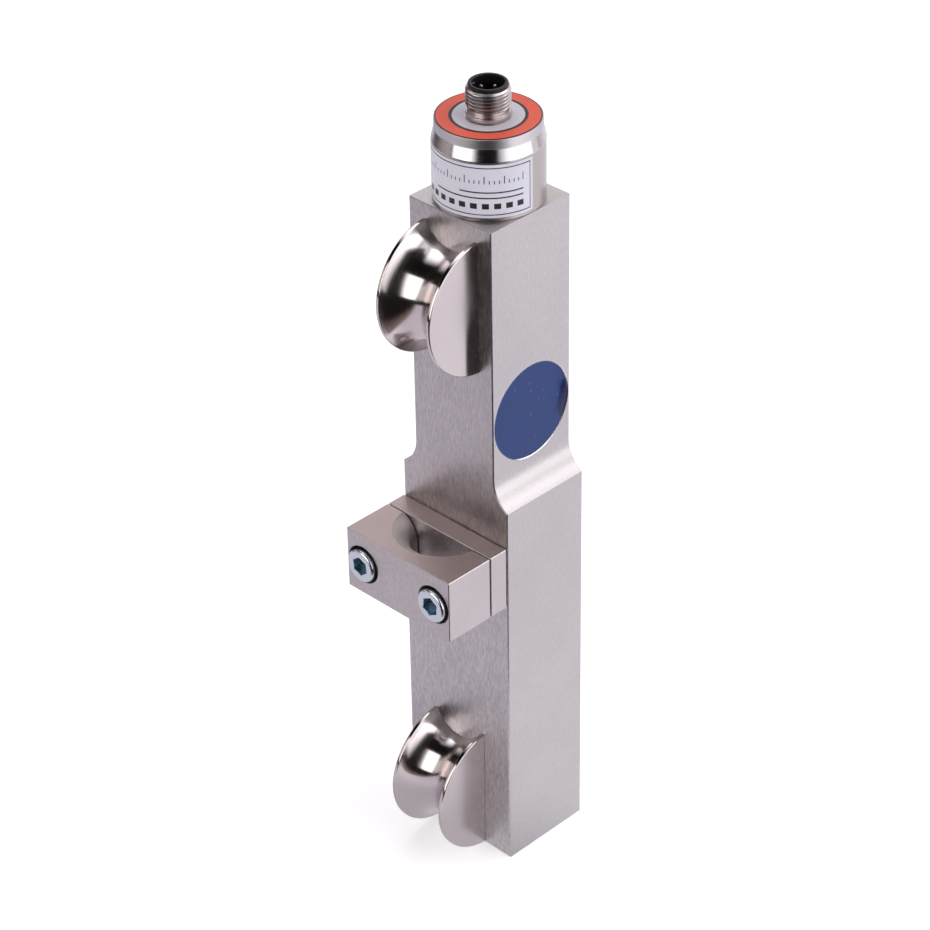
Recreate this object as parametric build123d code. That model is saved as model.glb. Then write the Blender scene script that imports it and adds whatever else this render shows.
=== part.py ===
from build123d import *
import math
import os

# A rope tension sensor: a bar that carries two grooved deflectors and a clamp between them.
# The rope is bent over the deflectors, and the bar's thin web feels the bend.
# Millimetres. X is to the right, -Y is the side where the rope runs, Z is up along the bar.

# Sensor body: one bar with a wide foot and a narrow neck above the step
body_depth = 30.0
foot_width = 40.0
body_height = 206.2
step_height = 121.0
step_radius = 10.0
body_edge = 0.3

# Gauge pockets, one from each side, with the web left between them
pocket_drop = 60.7
pocket_wall = 0.7
pocket_edge = 0.2
web_thickness = 6.0
bond_line = 0.02
meniscus_depth = 0.25

# Strain gauges and the solder terminals beside them, on both sides of the web
gauge_width = 8.0
gauge_length = 9.0
gauge_thickness = 0.12
gauge_drop = 3.0
terminal_width = 5.0
terminal_length = 2.4
terminal_thickness = 0.8
terminal_rise = 4.6
cross_hole_radius = 1.6
cross_hole_rise = 9.0

# Wires from the gauges, up a drilled channel, to the circuit board
channel_offset = 8.0
channel_radius = 2.5
wire_radius = 0.35
wire_pitch = 0.9
wire_count = 4
wire_bend = 1.2
wire_turn_rise = 12.0

# Rope deflectors: turned and polished, then cut flat where they meet the bar
deflector_radius = 20.0
deflector_width = 20.0
deflector_sink = 2.0
groove_radius = 9.8
groove_depth = 5.6
deflector_edge = 0.35
lower_deflector_lift = 0.2
upper_deflector_drop = 4.5

# Socket screws that hold each deflector from the back of the bar
deflector_screw_radius = 2.5
deflector_screw_reach = 5.4
deflector_screw_offset = 8.0
deflector_head_radius = 4.25
deflector_head_height = 5.0
deflector_head_edge = 0.4
deflector_head_sink = 0.4
deflector_socket_width = 4.0
deflector_socket_depth = 2.5

# Clamp plate and jaw, which hold the rope against the bar
clamp_height = 19.5
clamp_drop = 21.1
clamp_side_step = 0.15
plate_thickness = 6.4
plate_seat_edge = 0.5
jaw_gap = 0.3
jaw_thickness = 15.9
clamp_edge = 0.2
channel_bore = 8.5
channel_set_back = 1.6
flare_radius = 8.2
flare_angle = 70.0

# Socket screws of the clamp
clamp_screw_radius = 3.0
clamp_screw_length = 30.0
clamp_screw_margin = 6.15
clamp_head_radius = 5.0
clamp_head_height = 6.0
clamp_head_proud = 1.35
clamp_head_edge = 0.6
clamp_socket_width = 5.0
clamp_socket_depth = 3.0
counterbore_radius = 5.75
counterbore_edge = 0.15

# Clearances that every screw and hole shares
screw_clearance = 0.3
thread_clearance = 0.05
thread_run_out = 2.0
counterbore_clearance = 0.5

# Housing sleeve: a cup that sits on the top of the bar
sleeve_wall = 1.8
sleeve_height = 16.95
sleeve_floor = 2.5
sleeve_edge = 0.25

# Screws that hold the sleeve down, and the seal ring under it
housing_screw_inset = 4.0
housing_screw_radius = 1.5
housing_screw_length = 8.0
housing_head_radius = 2.75
housing_head_height = 2.0
housing_head_edge = 0.3
housing_socket_width = 2.0
housing_socket_depth = 1.2
wire_hole_angle = 0.0
housing_screw_angle = 120.0
seal_inset = 3.0
seal_section = 0.75

# Housing cap: a spigot in the sleeve, a sloping shoulder and an upright lip
cap_overhang = 0.1
cap_band_height = 1.0
cap_shoulder_height = 2.7
lip_inset = 0.7
lip_height = 2.65
lip_edge = 0.3
spigot_length = 6.0
spigot_clearance = 0.05
spigot_wall = 1.95
cap_top_thickness = 3.0
cap_seal_section = 0.6
cap_seal_drop = 3.0

# Labels: a round one on the cap and one wrapped round the sleeve
label_thickness = 0.15
cap_label_margin = 0.26
cap_label_hole = 6.4
side_label_low = 1.2
side_label_height = 15.4
side_label_right = 2.0
side_label_sweep = 190.0

# Round connector: threaded shell, moulded insert, four pins and the nut inside the cap
shell_radius = 6.0
shell_foot_height = 1.6
shell_neck_radius = 5.5
shell_neck_height = 1.2
shell_thread_length = 5.3
shell_top_chamfer = 0.5
shell_foot_edge = 0.2
stem_radius = 5.4
stem_clearance = 0.03
stem_length = 6.4
insert_wall = 0.5
insert_rim_wall = 1.0
insert_rim_height = 1.0
insert_clearance = 0.05
insert_bore_radius = 4.3
insert_bore_depth = 9.0
insert_edge = 0.2
key_width = 1.1
key_reach = 0.9
key_drop = 0.4
key_angle = 225.0
pin_radius = 0.5
pin_circle = 2.5
pin_count = 4
pin_drop = 1.8
pin_tail = 2.0
nut_width = 15.0
nut_height = 2.5
nut_seal_section = 0.5
nut_seal_gap = 0.2

# Circuit board on its standoffs, and what is soldered to it
board_thickness = 1.6
board_side_room = 0.7
board_head_room = 1.85
board_clearance = 0.1
standoff_radius = 1.9
standoff_inset = 3.0
standoff_count = 3
board_screw_radius = 1.0
board_screw_length = 5.0
board_head_radius = 1.9
board_head_height = 1.3
board_head_edge = 0.15
board_socket_width = 1.5
board_socket_depth = 0.8
chip_length = 5.0
chip_width = 4.0
chip_height = 1.7
chip_circle = 6.2
chip_angle = 120.0
capacitor_radius = 1.6
capacitor_height = 3.5
capacitor_offset = 5.2
capacitor_spread = 3.2

# The neck is square, so that the round housing is flush with its four faces
neck_width = body_depth
sleeve_radius = neck_width / 2

# Heights, depths and places that follow from the sizes above
front_face = -body_depth / 2
back_face = body_depth / 2
pocket_height = body_height - pocket_drop
pocket_radius = body_depth / 2 - pocket_wall
web_face = web_thickness / 2
neck_face = neck_width / 2
resin_brim = neck_face - pocket_edge
lower_deflector_height = lower_deflector_lift + deflector_radius
upper_deflector_height = body_height - upper_deflector_drop - deflector_radius
deflector_axis = front_face + deflector_sink
deflector_seat = back_face - deflector_head_height - deflector_head_sink
deflector_screw_length = deflector_seat - front_face + deflector_screw_reach
plate_face = front_face - plate_thickness
jaw_back = plate_face - jaw_gap
jaw_face = jaw_back - jaw_thickness
clamp_width = foot_width - 2 * clamp_side_step
clamp_centre = step_height - clamp_drop
clamp_low = clamp_centre - clamp_height / 2
clamp_high = clamp_centre + clamp_height / 2
clamp_seat = jaw_face - clamp_head_proud + clamp_head_height
clamp_screw_offset = clamp_width / 2 - clamp_screw_margin
seal_circle = sleeve_radius - seal_inset
housing_screw_circle = seal_circle - housing_screw_inset
cap_radius = sleeve_radius + cap_overhang
lip_radius = sleeve_radius - lip_inset
cap_label_radius = lip_radius - cap_label_margin
seam_height = body_height + sleeve_height
lip_low = seam_height + cap_band_height + cap_shoulder_height
cap_top = lip_low + lip_height
shell_thread_low = cap_top + shell_foot_height + shell_neck_height
shell_thread_high = shell_thread_low + shell_thread_length
shell_top = shell_thread_high + shell_top_chamfer
insert_top = shell_top + insert_rim_height
insert_floor = insert_top - insert_bore_depth
insert_radius = insert_bore_radius + insert_wall
shell_bore = insert_radius + insert_clearance
cap_underside = cap_top - cap_top_thickness
nut_face = cap_underside - nut_seal_gap
stem_end = cap_top - stem_length
insert_end = stem_end - insert_clearance
pin_end = insert_end - pin_tail
sleeve_bore = sleeve_radius - sleeve_wall
spigot_radius = sleeve_bore - spigot_clearance
spigot_bore = spigot_radius - spigot_wall
spigot_low = seam_height - spigot_length
inner_floor = body_height + sleeve_floor
board_high = spigot_low - board_head_room
board_low = board_high - board_thickness
board_radius = sleeve_bore - board_side_room
standoff_height = board_low - inner_floor
standoff_circle = board_radius - standoff_inset

CENTRED = (Align.CENTER, Align.CENTER, Align.CENTER)
UPWARDS = (Align.CENTER, Align.CENTER, Align.MIN)
BACKWARDS = (0, 1, 0)
FORWARDS = (0, -1, 0)
LEFTWARDS = (-1, 0, 0)
RIGHTWARDS = (1, 0, 0)
UP = (0, 0, 1)
DOWN = (0, 0, -1)


def rod(radius, length, start, direction):
    """A round rod or drill that starts at a point and runs along a direction."""
    place = Plane(origin=start, z_dir=direction)
    return place * Cylinder(radius, length, align=UPWARDS)


def block(x_low, x_high, y_low, y_high, z_low, z_high):
    """A plain block between two corners."""
    size = Box(x_high - x_low, y_high - y_low, z_high - z_low, align=(Align.MIN, Align.MIN, Align.MIN))
    return Pos(x_low, y_low, z_low) * size


def turned(points):
    """A turned piece about Z, from its half section of radius and height."""
    edge = Polyline(*points, close=True)
    section = Plane.XZ * make_face(edge)
    return revolve(section, axis=Axis.Z)


def ring(circle, section, height):
    """A seal ring about Z."""
    return Pos(0, 0, height) * Torus(circle, section)


def mouth_bevel(radius, edge, centre, direction):
    """The cone that breaks a hole's edge where it comes out of a face."""
    return Plane(origin=centre, z_dir=direction) * Cone(radius, radius + 2 * edge, 2 * edge)


def on_circle(radius, angle):
    """A point on a circle about Z, as x and y."""
    turn = math.radians(angle)
    return radius * math.cos(turn), radius * math.sin(turn)


def socket_screw(radius, length, head_radius, head_height, head_edge, socket_width, socket_depth):
    """A socket head screw along Z: its head stands on z = 0 and its shank hangs below."""
    head = Cylinder(head_radius, head_height, align=UPWARDS)
    head = chamfer(head.edges().group_by(Axis.Z)[-1], length=head_edge)
    corner = socket_width / 2 / math.cos(math.radians(30))
    hexagon = RegularPolygon(corner, 6)
    socket = Pos(0, 0, head_height - socket_depth) * extrude(hexagon, amount=socket_depth)
    shank = rod(radius, length, (0, 0, 0), DOWN)
    return head - socket + shank


def sensor_body():
    """The bar: stepped outline, two gauge pockets, the wire channel and every screw hole."""
    rise = math.sqrt(step_radius**2 - (step_radius - (foot_width - neck_width) / 2)**2)
    arc_top = step_height + rise
    arc_centre = neck_face + step_radius
    middle = math.pi + math.asin(rise / step_radius) / 2
    arc_middle = (arc_centre + step_radius * math.cos(middle), arc_top + step_radius * math.sin(middle))
    foot = foot_width / 2
    right = Polyline((0, 0), (foot, 0), (foot, step_height))
    right += ThreePointArc((foot, step_height), arc_middle, (neck_face, arc_top))
    right += Polyline((neck_face, arc_top), (neck_face, body_height), (0, body_height))
    outline = right + mirror(right, about=Plane.YZ)
    body = extrude(Plane.XZ * make_face(outline), amount=body_depth / 2, both=True)
    outer = body.edges().filter_by(lambda e: abs(abs(e.center().Y) - body_depth / 2) < bond_line)
    body = chamfer(outer, length=body_edge)
    for side, face in ((1, RIGHTWARDS), (-1, LEFTWARDS)):
        body -= rod(pocket_radius, foot_width, (side * web_face, 0, pocket_height), face)
        body -= mouth_bevel(pocket_radius, pocket_edge, (side * neck_face, 0, pocket_height), face)
    body -= rod(cross_hole_radius, foot_width, (-neck_face, 0, pocket_height + cross_hole_rise), RIGHTWARDS)
    body -= rod(channel_radius, body_height, (channel_offset, 0, pocket_height), UP)
    body -= ring_groove(seal_circle, seal_section, body_height - seal_section)
    for point in housing_screw_points():
        depth = housing_screw_length - sleeve_floor + thread_run_out
        body -= rod(housing_screw_radius + thread_clearance, depth, (*point, body_height), DOWN)
    for side in (-1, 1):
        start = (side * clamp_screw_offset, front_face, clamp_centre)
        depth = clamp_seat - front_face + clamp_screw_length + thread_run_out
        body -= rod(clamp_screw_radius + thread_clearance, depth, start, BACKWARDS)
    for height in deflector_screw_heights():
        body -= rod(deflector_screw_radius + screw_clearance, body_depth, (0, front_face, height), BACKWARDS)
        seat = (0, deflector_seat, height)
        body -= rod(deflector_head_radius + counterbore_clearance, body_depth, seat, BACKWARDS)
    return body


def ring_groove(circle, section, height):
    """The square groove that a seal ring fills."""
    outer = Cylinder(circle + section, 2 * section)
    inner = Cylinder(circle - section, 2 * section)
    return Pos(0, 0, height) * (outer - inner)


def housing_screw_points():
    """The two screws share a circle with the wire hole."""
    angles = (wire_hole_angle + housing_screw_angle, wire_hole_angle - housing_screw_angle)
    return [on_circle(housing_screw_circle, angle) for angle in angles]


def deflector_screw_heights():
    """Two screws hold each deflector, one above and one below its middle."""
    heights = []
    for centre in (lower_deflector_height, upper_deflector_height):
        heights.append(centre - deflector_screw_offset)
        heights.append(centre + deflector_screw_offset)
    return heights


def deflector(height):
    """A grooved disc about X, cut flat at the bar's front face, with its two threaded holes."""
    half = deflector_width / 2
    groove_half = math.sqrt(2 * groove_radius * groove_depth - groove_depth**2)
    throat = deflector_radius - groove_depth
    rim = deflector_radius - deflector_edge
    right = Polyline((0, 0), (half, 0), (half, rim), (half - deflector_edge, deflector_radius),
                     (groove_half, deflector_radius))
    left = mirror(right, about=Plane.YZ)
    groove = ThreePointArc((groove_half, deflector_radius), (0, throat), (-groove_half, deflector_radius))
    disc = revolve(Plane.XZ * make_face(right + groove + left), axis=Axis.X)
    disc = Pos(0, deflector_axis, height) * disc
    span = 2 * deflector_radius
    disc -= block(-span, span, front_face, front_face + span, height - span, height + span)
    depth = deflector_screw_reach + thread_run_out
    for side in (-1, 1):
        start = (0, front_face, height + side * deflector_screw_offset)
        disc -= rod(deflector_screw_radius + thread_clearance, depth, start, FORWARDS)
    return disc


def deflector_screws():
    """Four socket screws, from counterbores in the back of the bar."""
    screws = []
    for height in deflector_screw_heights():
        seat = (0, deflector_seat, height)
        screw = socket_screw(deflector_screw_radius, deflector_screw_length, deflector_head_radius,
                             deflector_head_height, deflector_head_edge, deflector_socket_width,
                             deflector_socket_depth)
        screws.append(Plane(origin=seat, x_dir=RIGHTWARDS, z_dir=BACKWARDS) * screw)
    return screws


def clamp_base_plate():
    """The flat plate between the bar and the rope, with two clear holes and a wider bevel at its seat."""
    half = clamp_width / 2
    slab = block(-half, half, plate_face, front_face, clamp_low, clamp_high)
    seat_edges = slab.faces().sort_by(Axis.Y)[-1].edges()
    plate = chamfer(slab.edges(), length=clamp_edge) & chamfer(seat_edges, length=plate_seat_edge)
    for side in (-1, 1):
        start = (side * clamp_screw_offset, plate_face, clamp_centre)
        plate -= rod(clamp_screw_radius + screw_clearance, plate_thickness, start, BACKWARDS)
    return plate


def rope_channel():
    """The jaw's bore: straight at its middle, with a trumpet flare that ends in a crisp edge at each mouth."""
    reach = clamp_height / 2
    bend = math.radians(flare_angle)
    straight = reach - flare_radius * math.sin(bend)
    wide = channel_bore + flare_radius * (1 - math.cos(bend))
    half_wide = channel_bore + flare_radius * (1 - math.cos(bend / 2))
    half_high = straight + flare_radius * math.sin(bend / 2)
    side = Polyline((0, straight), (0, -straight))
    outline = Polyline((channel_bore, -straight), (channel_bore, straight))
    for turn in (1, -1):
        middle = (half_wide, turn * half_high)
        outline += ThreePointArc((channel_bore, turn * straight), middle, (wide, turn * reach))
        outline += Polyline((wide, turn * reach), (0, turn * reach), (0, turn * straight))
    section = Plane.XZ * make_face(outline + side)
    axis_y = jaw_back + channel_set_back
    return Pos(0, axis_y, clamp_centre) * revolve(section, axis=Axis.Z)


def clamp_jaw():
    """The jaw: a block with the flared rope channel and two counterbored screw holes."""
    half = clamp_width / 2
    jaw = block(-half, half, jaw_face, jaw_back, clamp_low, clamp_high)
    jaw = chamfer(jaw.edges(), length=clamp_edge)
    jaw -= rope_channel()
    for side in (-1, 1):
        start = (side * clamp_screw_offset, clamp_seat, clamp_centre)
        jaw -= rod(counterbore_radius, jaw_thickness, start, FORWARDS)
        jaw -= rod(clamp_screw_radius + screw_clearance, jaw_thickness, start, BACKWARDS)
        mouth = (side * clamp_screw_offset, jaw_face, clamp_centre)
        jaw -= mouth_bevel(counterbore_radius, counterbore_edge, mouth, FORWARDS)
    return jaw


def clamp_screws():
    """Two socket screws that pull the jaw onto the plate and the bar."""
    screws = []
    for side in (-1, 1):
        screw = socket_screw(clamp_screw_radius, clamp_screw_length, clamp_head_radius,
                             clamp_head_height, clamp_head_edge, clamp_socket_width, clamp_socket_depth)
        seat = (side * clamp_screw_offset, clamp_seat, clamp_centre)
        screws.append(Plane(origin=seat, x_dir=RIGHTWARDS, z_dir=FORWARDS) * screw)
    return screws


def on_web(side, thickness, width, length, height, room=0):
    """A flat piece that lies on one side of the web, or the room that it takes in the resin."""
    flat = Box(thickness + 2 * room, width + 2 * room, length + 2 * room)
    return Pos(side * (web_face + thickness / 2), 0, height) * flat


def strain_gauge(side, room=0):
    """A foil gauge on the web."""
    height = pocket_height - gauge_drop
    return on_web(side, gauge_thickness, gauge_width, gauge_length, height, room)


def gauge_terminal(side, room=0):
    """The solder terminal strip above a gauge."""
    height = pocket_height + terminal_rise
    return on_web(side, terminal_thickness, terminal_width, terminal_length, height, room)


def tube(points, radius):
    """A round wire along straight runs joined by arcs."""
    path = FilletPolyline(*points, radius=wire_bend)
    start = Plane(origin=path @ 0, z_dir=path % 0)
    return sweep(start * Circle(radius), path=path)


def gauge_wires(radius):
    """Four wires: two from each gauge, which meet in the channel and end at the board."""
    terminal = web_face + terminal_thickness + wire_radius
    low = pocket_height + terminal_rise
    cross = pocket_height + cross_hole_rise
    turn = pocket_height + wire_turn_rise
    wires = []
    for index in range(wire_count):
        y = (index - (wire_count - 1) / 2) * wire_pitch
        if index in (0, wire_count - 1):
            points = [(terminal, y, low), (channel_offset, y, turn), (channel_offset, y, board_low)]
        else:
            points = [(-terminal, y, low), (-terminal, y, cross), (terminal, y, cross)]
            points += [(channel_offset, y, turn), (channel_offset, y, board_low)]
        wires.append(tube(points, radius))
    return wires


def gauge_potting(side):
    """The resin that fills a pocket up to its bevel, round the gauge, its terminal and its wires."""
    radius = pocket_radius - bond_line
    middle = (resin_brim - meniscus_depth, 0)
    brim = (resin_brim, radius)
    walls = Polyline(middle, (web_face, 0), (web_face, radius), brim)
    meniscus = TangentArc(middle, brim, tangent=(0, 1))
    resin = revolve(Plane.XZ * make_face(walls + meniscus), axis=Axis.X)
    if side < 0:
        resin = mirror(resin, about=Plane.YZ)
    resin = Pos(0, 0, pocket_height) * resin
    resin -= strain_gauge(side, bond_line)
    resin -= gauge_terminal(side, bond_line)
    for wire in gauge_wires(wire_radius + bond_line):
        resin -= wire
    return resin


def housing_sleeve():
    """The cup on top of the bar, with its wire hole and two screw holes."""
    sleeve = Pos(0, 0, body_height) * Cylinder(sleeve_radius, sleeve_height, align=UPWARDS)
    sleeve = chamfer(sleeve.edges().group_by(Axis.Z)[0], length=sleeve_edge)
    sleeve -= Pos(0, 0, inner_floor) * Cylinder(sleeve_bore, sleeve_height, align=UPWARDS)
    hole = on_circle(channel_offset, wire_hole_angle)
    sleeve -= rod(channel_radius, sleeve_height, (*hole, body_height), UP)
    for point in housing_screw_points():
        sleeve -= rod(housing_screw_radius + screw_clearance, sleeve_height, (*point, body_height), UP)
    return sleeve


def housing_screws():
    """Two small socket screws inside the sleeve."""
    screws = []
    for point in housing_screw_points():
        screw = socket_screw(housing_screw_radius, housing_screw_length, housing_head_radius,
                             housing_head_height, housing_head_edge, housing_socket_width,
                             housing_socket_depth)
        screws.append(Pos(*point, inner_floor) * screw)
    return screws


def housing_cap():
    """The cap: spigot, sloping shoulder, upright lip and the hole for the connector."""
    shoulder_low = seam_height + cap_band_height
    cap = turned([(0, spigot_low), (spigot_radius, spigot_low), (spigot_radius, seam_height),
                  (cap_radius, seam_height), (cap_radius, shoulder_low), (lip_radius, lip_low),
                  (lip_radius, cap_top - lip_edge), (lip_radius - lip_edge, cap_top), (0, cap_top)])
    room = cap_underside - spigot_low
    cap -= Pos(0, 0, spigot_low) * Cylinder(spigot_bore, room, align=UPWARDS)
    cap -= Cylinder(stem_radius + stem_clearance, 2 * cap_top)
    groove_outer = Cylinder(spigot_radius + cap_seal_section, 2 * cap_seal_section)
    groove_inner = Cylinder(spigot_radius - 2 * cap_seal_section, 2 * cap_seal_section)
    cap -= Pos(0, 0, seam_height - cap_seal_drop) * (groove_outer - groove_inner)
    return cap


def cap_seal():
    """The seal ring in the spigot's groove, which touches the sleeve's bore."""
    circle = spigot_radius + spigot_clearance - cap_seal_section
    return ring(circle, cap_seal_section - thread_clearance, seam_height - cap_seal_drop)


def cap_label():
    """The round label on the cap, with a hole for the connector."""
    disc = Cylinder(cap_label_radius, label_thickness, align=UPWARDS)
    hole = Cylinder(cap_label_hole, 2 * label_thickness, align=CENTRED)
    return Pos(0, 0, cap_top) * (disc - hole)


def side_label():
    """The label wrapped round the left and front of the sleeve."""
    left = side_label_right - side_label_sweep
    outer = CenterArc((0, 0), sleeve_radius + label_thickness, left, side_label_sweep)
    inner = CenterArc((0, 0), sleeve_radius, left, side_label_sweep)
    ends = Line(outer @ 0, inner @ 0) + Line(outer @ 1, inner @ 1)
    strip = extrude(make_face(outer + inner + ends), amount=side_label_height)
    return Pos(0, 0, body_height + side_label_low) * strip


def connector_shell():
    """The connector's shell: foot, neck, threaded barrel and the stem that passes the cap."""
    foot_high = cap_top + shell_foot_height
    barrel = turned([(0, cap_top), (shell_radius, cap_top), (shell_radius, foot_high - shell_foot_edge),
                     (shell_radius - shell_foot_edge, foot_high), (shell_neck_radius, foot_high),
                     (shell_neck_radius, shell_thread_low), (shell_radius, shell_thread_low),
                     (shell_radius, shell_thread_high),
                     (shell_radius - shell_top_chamfer, shell_top), (0, shell_top)])
    shell = barrel + rod(stem_radius, cap_top - stem_end, (0, 0, cap_top), DOWN)
    return shell - rod(shell_bore, shell_top - stem_end, (0, 0, shell_top), DOWN)


def contact_pins():
    """Four pins with round tips, on a circle about the connector's axis."""
    pins = []
    for index in range(pin_count):
        x, y = on_circle(pin_circle, index * 360 / pin_count)
        tip = insert_top - pin_drop
        pin = rod(pin_radius, tip - pin_end, (x, y, tip), DOWN)
        pins.append(fillet(pin.edges().group_by(Axis.Z)[-1], radius=pin_radius - thread_clearance))
    return pins


def connector_insert():
    """The moulded insert: rim over the shell, deep bore, coding key and the pin holes."""
    rim = insert_bore_radius + insert_rim_wall
    insert = turned([(0, insert_end), (insert_radius, insert_end), (insert_radius, shell_top),
                     (rim, shell_top), (rim, insert_top - insert_edge), (rim - insert_edge, insert_top),
                     (insert_bore_radius + insert_edge, insert_top),
                     (insert_bore_radius, insert_top - insert_edge),
                     (insert_bore_radius, insert_floor), (0, insert_floor)])
    reach = block(insert_bore_radius - key_reach, insert_bore_radius + insert_wall / 2,
                  -key_width / 2, key_width / 2, insert_floor, insert_top - key_drop)
    insert += Rot(0, 0, key_angle) * reach
    for index in range(pin_count):
        x, y = on_circle(pin_circle, index * 360 / pin_count)
        insert -= rod(pin_radius, insert_floor - insert_end, (x, y, insert_floor), DOWN)
    return insert


def connector_nut():
    """The nut inside the cap, with the groove for its seal ring."""
    blank = extrude(RegularPolygon(nut_width / 2, 6, major_radius=False), amount=nut_height)
    nut = Pos(0, 0, nut_face - nut_height) * blank
    nut -= rod(stem_radius + stem_clearance, nut_height, (0, 0, nut_face), DOWN)
    return nut - ring_groove(nut_seal_circle(), nut_seal_section, nut_face - nut_seal_section + nut_seal_gap)


def nut_seal_circle():
    """The seal ring lies close round the stem."""
    return stem_radius + stem_clearance + nut_seal_section


def circuit_board():
    """The round board, with its screw holes and the holes for the wires."""
    board = Pos(0, 0, board_low) * Cylinder(board_radius, board_thickness, align=UPWARDS)
    for x, y in standoff_points():
        board -= rod(board_screw_radius + board_clearance, board_thickness, (x, y, board_low), UP)
    return board


def standoff_points():
    """The standoffs lie between the wire hole and the housing screws."""
    start = wire_hole_angle + 180 / standoff_count
    return [on_circle(standoff_circle, start + index * 360 / standoff_count)
            for index in range(standoff_count)]


def board_standoffs():
    """Round standoffs between the sleeve's floor and the board, each with a threaded hole."""
    posts = []
    depth = board_screw_length - board_thickness + board_clearance
    for x, y in standoff_points():
        post = rod(standoff_radius, standoff_height, (x, y, inner_floor), UP)
        post -= rod(board_screw_radius + thread_clearance, depth, (x, y, board_low), DOWN)
        posts.append(post)
    return posts


def board_screws():
    """One small screw in each standoff."""
    screws = []
    for x, y in standoff_points():
        screw = socket_screw(board_screw_radius, board_screw_length, board_head_radius,
                             board_head_height, board_head_edge, board_socket_width, board_socket_depth)
        screws.append(Pos(x, y, board_high) * screw)
    return screws


def amplifier_chip():
    """The amplifier that turns the gauge signal into a current."""
    chip = Box(chip_length, chip_width, chip_height, align=UPWARDS)
    return Pos(*on_circle(chip_circle, chip_angle), board_high) * chip


def board_capacitors():
    """Two upright capacitors beside the wire hole."""
    cans = []
    for side in (-1, 1):
        place = (capacitor_offset, side * capacitor_spread, board_high)
        cans.append(rod(capacitor_radius, capacitor_height, place, UP))
    return cans


def pin_wires():
    """One short wire from each pin's tail to the board."""
    wires = []
    for index in range(pin_count):
        x, y = on_circle(pin_circle, index * 360 / pin_count)
        wires.append(rod(wire_radius, pin_end - board_high, (x, y, board_high), UP))
    return wires


def nut_seal():
    """The seal ring between the cap and the nut."""
    return ring(nut_seal_circle(), nut_seal_section, cap_underside - nut_seal_section)


def housing_seal():
    """The seal ring between the bar and the sleeve."""
    return ring(seal_circle, seal_section, body_height - seal_section)


pieces = {
    "sensor_body": sensor_body(),
    "upper_deflector": deflector(upper_deflector_height),
    "lower_deflector": deflector(lower_deflector_height),
    "deflector_screws": deflector_screws(),
    "clamp_base_plate": clamp_base_plate(),
    "clamp_jaw": clamp_jaw(),
    "clamp_screws": clamp_screws(),
    "strain_gauges": [strain_gauge(-1), strain_gauge(1)],
    "gauge_terminals": [gauge_terminal(-1), gauge_terminal(1)],
    "gauge_wires": gauge_wires(wire_radius),
    "right_potting": gauge_potting(1),
    "left_potting": gauge_potting(-1),
    "housing_sleeve": housing_sleeve(),
    "housing_screws": housing_screws(),
    "housing_seal": housing_seal(),
    "housing_cap": housing_cap(),
    "cap_seal": cap_seal(),
    "cap_label": cap_label(),
    "side_label": side_label(),
    "connector_shell": connector_shell(),
    "connector_insert": connector_insert(),
    "contact_pins": contact_pins(),
    "connector_nut": connector_nut(),
    "nut_seal": nut_seal(),
    "circuit_board": circuit_board(),
    "board_standoffs": board_standoffs(),
    "board_screws": board_screws(),
    "amplifier_chip": amplifier_chip(),
    "board_capacitors": board_capacitors(),
    "pin_wires": pin_wires(),
}

os.makedirs("parts", exist_ok=True)
for name, piece in pieces.items():
    if isinstance(piece, list):
        piece = Compound(children=piece)
    export_step(piece, "parts/" + name + ".step")
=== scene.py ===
# %% [markdown]
# # A wire rope tension sensor
# The part is a ground steel bar with two polished rope deflectors, a clamp, a resin-filled
# gauge pocket in each side, and a turned housing with a plug connector on its top.
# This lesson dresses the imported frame: it sets up a small photo studio, writes the metal
# finishes as nodes, and models the pieces whose finest shape the frame leaves out.

# %% Load the frame
import math

import bmesh
import bpy
from mathutils import Matrix, Vector


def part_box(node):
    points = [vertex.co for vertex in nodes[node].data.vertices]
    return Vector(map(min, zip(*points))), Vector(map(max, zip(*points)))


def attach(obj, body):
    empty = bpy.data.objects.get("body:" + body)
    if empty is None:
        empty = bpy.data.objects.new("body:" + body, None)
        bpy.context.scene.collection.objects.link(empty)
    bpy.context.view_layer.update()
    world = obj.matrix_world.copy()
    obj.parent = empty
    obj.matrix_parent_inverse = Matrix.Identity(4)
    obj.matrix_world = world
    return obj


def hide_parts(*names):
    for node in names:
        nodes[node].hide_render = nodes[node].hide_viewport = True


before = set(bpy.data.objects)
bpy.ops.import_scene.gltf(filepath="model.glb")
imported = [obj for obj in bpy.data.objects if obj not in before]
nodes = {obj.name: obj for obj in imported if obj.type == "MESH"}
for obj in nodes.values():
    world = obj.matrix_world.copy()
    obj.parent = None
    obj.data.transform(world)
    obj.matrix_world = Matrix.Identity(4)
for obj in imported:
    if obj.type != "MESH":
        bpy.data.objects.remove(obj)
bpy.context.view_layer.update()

MM = 0.001

# %% [markdown]
# ## Camera
# A product photographer stands well back with a long lens, so that the bar's edges stay
# nearly parallel. The camera looks down on one corner of the bar. Its place is written in
# the camera's own directions: so far back from the bar, so far to the right, so far up.

# %% Camera
AZIMUTH = math.radians(45.16)
ELEVATION = math.radians(33.52)
ROLL = math.radians(-1.03)
DISTANCE = 890.35 * MM
AIM_HEIGHT = 100.0 * MM
MOVE_RIGHT = -7.68 * MM
MOVE_UP = 17.66 * MM
FOCAL_PIXELS = 3170.94
FRAME_PIXELS = 930
SENSOR = 36.0


def horizontal(azimuth, distance, height):
    """A point round the bar: azimuth 0 is in front of it, and 90 degrees is to its right."""
    return Vector((math.sin(azimuth) * distance, -math.cos(azimuth) * distance, height))


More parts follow.
